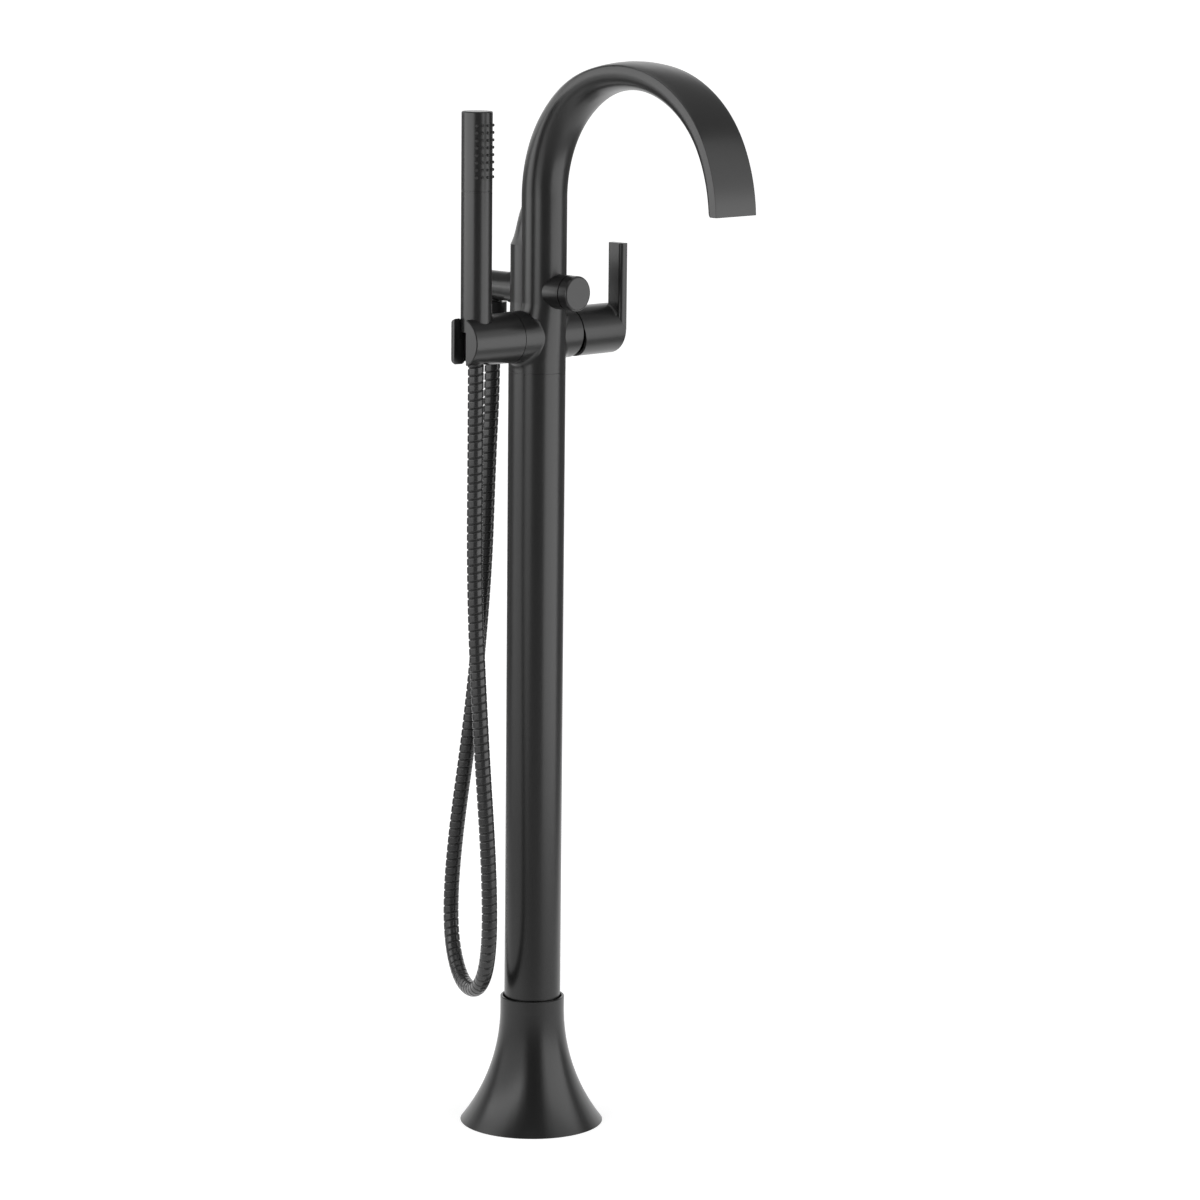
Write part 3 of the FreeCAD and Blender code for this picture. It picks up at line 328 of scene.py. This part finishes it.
finishes = {
    "black_metal": satin_coating("satin_black_coating", grey(0.0115), grey(0.0165), 0.24, 0.34),
    "dark_sleeve": satin_coating("dark_sleeve_coating", grey(0.006), grey(0.009), 0.4, 0.52),
    "hose_metal": hose_skin("black_hose_strip"),
    "plate_steel": zinc_plate("zinc_plated_steel"),
    "screw_steel": turned_metal("plain_screw_steel", grey(0.3), grey(0.52), 0.26),
    "brass": turned_metal("drawn_brass", (0.62, 0.43, 0.18, 1.0), (0.8, 0.6, 0.29, 1.0), 0.2),
    "seal_rubber": moulded("seal_rubber", grey(0.012), grey(0.022), 0.55, 0.0004),
    "nozzle_rubber": moulded("nozzle_rubber", grey(0.02), grey(0.034), 0.5, 0.0003),
    "liner_plastic": moulded("dark_liner_plastic", grey(0.008), grey(0.014), 0.48, 0.0005),
    "pale_plastic": moulded(
        "pale_cartridge_plastic", (0.6, 0.6, 0.57, 1.0), (0.74, 0.74, 0.71, 1.0), 0.36, 0.0006),
}

for part in frame["record"]["subparts"]:
    node = frame["nodes"][part["node"]]
    node.data.materials.clear()
    node.data.materials.append(finishes[part["material_slot"]])


# Surfaces


def surface(name, grid):
    """Closed tube from a grid of points, row by row, with a cap at each end."""
    rows, columns = grid.shape[:2]
    index = np.arange(rows * columns).reshape(rows, columns)
    ahead = np.roll(index, -1, axis=1)
    faces = np.stack([index[:-1], ahead[:-1], ahead[1:], index[1:]], axis=-1).reshape(-1, 4)
    mesh = bpy.data.meshes.new(name)
    ends = [index[0, ::-1].tolist(), index[-1].tolist()]
    mesh.from_pydata(grid.reshape(-1, 3).tolist(), [], faces.tolist() + ends)
    mesh.polygons.foreach_set("use_smooth", np.ones(len(mesh.polygons), dtype=bool))
    mesh.update()
    piece = bpy.data.objects.new(name, mesh)
    bpy.context.scene.collection.objects.link(piece)
    return piece


# Hose


def smooth_line(points):
    """Points along a smooth curve that has the given points as its control points."""
    curve = bpy.data.curves.new("hose_line", "CURVE")
    curve.dimensions = "3D"
    spline = curve.splines.new("NURBS")
    spline.points.add(len(points) - 1)
    spline.points.foreach_set("co", np.column_stack([points, np.ones(len(points))]).ravel())
    spline.order_u = hose_line_order
    spline.use_endpoint_u = True
    spline.resolution_u = hose_line_steps
    holder = bpy.data.objects.new("hose_line", curve)
    mesh = bpy.data.meshes.new_from_object(holder)
    line = np.zeros(len(mesh.vertices) * 3)
    mesh.vertices.foreach_get("co", line)
    bpy.data.objects.remove(holder)
    bpy.data.meshes.remove(mesh)
    bpy.data.curves.remove(curve)
    return line.reshape(-1, 3)


def along_line(line, count):
    """Evenly spaced points and directions on a line, and their distance from its start."""
    steps = np.linalg.norm(np.diff(line, axis=0), axis=1)
    passed = np.concatenate([[0.0], np.cumsum(steps)])
    distance = np.linspace(0.0, passed[-1], count)
    points = np.column_stack([np.interp(distance, passed, line[:, axis]) for axis in range(3)])
    directions = np.gradient(points, distance, axis=0)
    directions /= np.linalg.norm(directions, axis=1)[:, None]
    return points, directions, distance


def rib_profile(turns):
    """Height of the wound strip, from 0 in its groove to 1 on its crown, by the share of a turn passed."""
    share = turns - np.floor(turns)
    from_groove = np.minimum(share, 1.0 - share) - hose_groove_share / 2
    rise = np.clip(from_groove / hose_shoulder_share, 0.0, 1.0)
    return np.sin(rise * math.pi / 2)


def make_hose(route):
    """Tube around the line: its radius falls by the groove's depth along one helix with the ribs' pitch."""
    line = smooth_line(route)
    length = np.linalg.norm(np.diff(line, axis=0), axis=1).sum()
    rib_count = round(length / hose_rib_pitch)
    points, directions, distance = along_line(line, rib_count * hose_steps_per_rib + 1)
    steady = np.array([1.0, 0.0, 0.0]) - directions * directions[:, :1]
    steady /= np.linalg.norm(steady, axis=1)[:, None]
    across = np.cross(directions, steady)
    angle = np.linspace(0.0, 2 * math.pi, hose_points_around, endpoint=False)
    turns = distance[:, None] / length * rib_count - angle[None, :] / (2 * math.pi)
    crown = rib_profile(turns)
    radius = hose_radius - hose_groove_depth * (1.0 - crown)
    spoke = np.cos(angle)[None, :, None] * steady[:, None] + np.sin(angle)[None, :, None] * across[:, None]
    piece = surface("shower_hose_strip", points[:, None] + spoke * radius[..., None])
    kept_crown = piece.data.attributes.new("crown", "FLOAT", "POINT")
    kept_crown.data.foreach_set("value", crown.ravel().astype(np.float32))
    return points, piece


hose_points, hose = make_hose(hose_route)
hose.data.materials.append(finishes["hose_metal"])
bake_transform(hose)
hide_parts("shower_hose")


# Spout


def through_points(places, values, at):
    """Cubic curve through the values at the places; at each place it has the slope of its neighbours."""
    slopes = np.gradient(values, places, axis=0)
    first = np.clip(np.searchsorted(places, at) - 1, 0, len(places) - 2)
    gap = (places[first + 1] - places[first])[:, None]
    part = (at[:, None] - places[first][:, None]) / gap
    start = values[first] * (1.0 + 2.0 * part) + slopes[first] * gap * part
    end = values[first + 1] * (3.0 - 2.0 * part) - slopes[first + 1] * gap * (1.0 - part)
    return start * (1.0 - part) ** 2 + end * part ** 2


def spout_values(share):
    """Each value of the sections at the given shares, with the powers turned into bends of their curves."""
    values = spout_sections[:, 1:].copy()
    values[:, 4:6] = 2.0 / values[:, 4:6]
    return through_points(spout_sections[:, 0], values, share).T[:, :, None]


def section_curves(half_width, outwards, swell, depths, bends, inset=0.0):
    """Closed curves, as distances across and outwards. Each half is a superellipse: the powers of the shares
    of its half width and of its depth add up to one. The outer face swells by a parabola."""
    turn = np.linspace(0.0, 2 * math.pi, spout_columns, endpoint=False)[None, :]
    outer = np.sin(turn) >= 0.0
    depth = np.where(outer, *depths)
    bend = np.where(outer, *bends)
    across = (half_width - inset) * np.sign(np.cos(turn)) * np.abs(np.cos(turn)) ** bend
    rise = outwards - depths[0] + (depth - inset) * np.sign(np.sin(turn)) * np.abs(np.sin(turn)) ** bend
    return across, rise + np.where(outer, swell * (1.0 - (across / half_width) ** 2), 0.0)


def on_arch(share, across, rise):
    """Rows of points round the arch, whose radius swells by a squared sine and grows a little to the tip."""
    angle = share * arch_end
    reach = arch_radius + arch_fullness * np.sin(2 * angle) ** 2
    reach += tip_spread * np.clip(1.0 - (1.0 - share) / tip_spread_share, 0.0, 1.0) ** 2
    growth = 2 * arch_fullness * np.sin(4 * angle)
    along_y = growth * np.cos(angle) - reach * np.sin(angle)
    along_z = growth * np.sin(angle) + reach * np.cos(angle)
    length = np.hypot(along_y, along_z)
    centre_y = reach * np.cos(angle) - tube_offset - arch_radius
    centre_z = arch_height + reach * np.sin(angle)
    y = centre_y[:, None] + rise * (along_z / length)[:, None]
    z = centre_z[:, None] - rise * (along_y / length)[:, None]
    return np.stack([across, y, z], axis=-1)


def spout_outside():
    """Outer skin from the round root to the tip, whose inner edge is a quarter of an ellipse."""
    lip_steps = np.sin(np.linspace(0.0, math.pi / 2, lip_rows))
    before_lip = np.linspace(0.0, 1.0 - lip_share, spout_rows)[:-1]
    share = np.concatenate([before_lip, 1.0 - lip_share * (1.0 - lip_steps)])
    half_width, outwards, inwards, outer_depth, outer_bend, inner_bend, swell = spout_values(share)
    lip = np.clip(1.0 - (1.0 - share[:, None]) / lip_share, 0.0, 1.0)
    inwards = inwards - lip_round * (1.0 - np.sqrt(1.0 - lip ** 2))
    depths = (outer_depth, outwards + inwards - outer_depth)
    curves = section_curves(half_width, outwards, swell, depths, (outer_bend, inner_bend))
    return on_arch(share, *curves)


def spout_pocket():
    """Walls of the outlet, from the tip's rim upwards."""
    share = np.array(spout_pocket_shares)
    half_width, outwards, inwards, *_, swell = spout_values(share)
    depths = [(outwards + inwards) / 2] * 2
    bends = [2.0 / spout_pocket_power] * 2
    return on_arch(share, *section_curves(half_width, outwards, swell, depths, bends, spout_wall))


def make_spout():
    """Skin from the round root to the flat tip, then round the rim and up into the outlet's pocket."""
    piece = surface("spout_skin", np.concatenate([spout_outside(), spout_pocket()]))
    piece.data.set_sharp_from_angle(angle=spout_sharp_angle)
    piece.data.materials.append(finishes["black_metal"])
    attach(piece, "stand")
    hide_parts("spout")


make_spout()


# Studio


def make_floor():
    """Pale disc on which the object stands, as white paper around it and behind it."""
    angle = np.linspace(0.0, 2 * math.pi, floor_sides, endpoint=False)
    heights = np.full(floor_sides, -floor_drop)
    rim = np.column_stack([np.cos(angle) * floor_radius, np.sin(angle) * floor_radius, heights])
    mesh = bpy.data.meshes.new("studio_floor")
    mesh.from_pydata(rim.tolist(), [], [list(range(floor_sides))])
    floor = bpy.data.objects.new("studio_floor", mesh)
    bpy.context.scene.collection.objects.link(floor)
    mesh.materials.append(white_paper())


def white_paper():
    """Pale floor with a sheet that widens away from the viewer: the sheet's glow makes it white to the eye
    and in reflections, rises where the lamps reach less, and leaves the object's shadow on the floor."""
    finish = Finish("white_paper", Roughness=0.9, Specular_IOR_Level=0.1, Emission_Strength=paper_glow)
    finish.shader.inputs["Base Color"].default_value = floor_colour
    start = finish.start
    front = finish.place.along(to_viewer)
    away = start.node("ShaderNodeVectorMath", {"operation": "LENGTH"}, {0: finish.place}, "Value")
    beside = start.maths("ABSOLUTE", finish.place.along(to_right))
    behind = start.maths("MAXIMUM", 0.0 - front, 0.0)
    outside = (beside - behind * paper_widening).stepped(paper_half_width, paper_half_width + paper_fade)
    before = front.stepped(paper_front, paper_front + paper_front_fade)
    rays = ["Is Camera Ray", "Is Glossy Ray", "Is Transmission Ray"]
    camera, glossy, transmission = [start.node("ShaderNodeLightPath", {}, {}, ray) for ray in rays]
    seen = camera + glossy + transmission
    rise = away.stepped(paper_near, paper_far) * (1.0 - paper_near_share) + paper_near_share
    glow = (1.0 - outside) * (1.0 - before) * seen.limited(0.0, 1.0) * rise
    finish.feed("Emission Color", glow.colours(grey(0.0), grey(1.0)))
    return finish.material


def make_area_light(name, width, tall, radiance):
    """Soft light of even radiance that faces down and stays out of the camera's own view."""
    light = bpy.data.lights.new(name, "AREA")
    light.shape = "RECTANGLE"
    light.size = width
    light.size_y = tall
    light.energy = radiance * math.pi * width * tall
    lamp = bpy.data.objects.new(name, light)
    lamp.visible_camera = False
    bpy.context.scene.collection.objects.link(lamp)
    return lamp


def make_softbox(name, azimuth, distance, height, width, tall, radiance):
    """Upright soft light that faces the column; azimuth is from the viewer, positive to the right."""
    lamp = make_area_light(name, width, tall, radiance)
    turn = math.radians(azimuth)
    out = to_right * math.sin(turn) + to_viewer * math.cos(turn)
    lamp.location = out * distance + upwards * height
    lamp.rotation_euler = out.to_track_quat("Z", "Y").to_euler()


def make_room():
    """Even dim light from all round, and a pale wall behind the object that fades at its sides and top."""
    world = bpy.data.worlds.new("studio_room")
    world.use_nodes = True
    start = Socket(world.node_tree)
    direction = start.node("ShaderNodeTexCoord", {}, {}, "Generated")
    back = direction.along(-to_viewer).stepped(*wall_edge)
    wall = back * (1.0 - direction.along(upwards).stepped(*wall_top))
    light = wall.colours(grey(room_light), grey(wall_light))
    world.node_tree.links.new(light.output, world.node_tree.nodes["Background"].inputs["Color"])
    bpy.context.scene.world = world


def make_camera():
    """Camera with the photograph's place, dip, roll and length of lens."""
    forward = Vector((
        -math.sin(camera_turn) * math.cos(camera_dip),
        math.cos(camera_turn) * math.cos(camera_dip),
        -math.sin(camera_dip)))
    level = Vector((math.cos(camera_turn), math.sin(camera_turn), 0.0))
    above = level.cross(forward)
    right = level * math.cos(camera_roll) + above * math.sin(camera_roll)
    up = above * math.cos(camera_roll) - level * math.sin(camera_roll)
    lens = bpy.data.cameras.new("photo_camera")
    lens.sensor_width = sensor_width
    lens.sensor_fit = "HORIZONTAL"
    lens.lens = sensor_width * focal_length_in_pixels / picture_width
    lens.clip_end = camera_far_limit
    camera = bpy.data.objects.new("photo_camera", lens)
    camera.matrix_world = Matrix((right, up, -forward)).transposed().to_4x4()
    camera.location = camera_place
    bpy.context.scene.collection.objects.link(camera)
    bpy.context.scene.camera = camera


make_floor()
make_room()
for softbox_name, softbox_settings in softboxes.items():
    make_softbox(softbox_name, *softbox_settings)
overhead = make_area_light("overhead_softbox", overhead_width, overhead_width, overhead_radiance)
overhead.location = upwards * overhead_height
make_camera()
bpy.context.scene.view_settings.view_transform = "Standard"
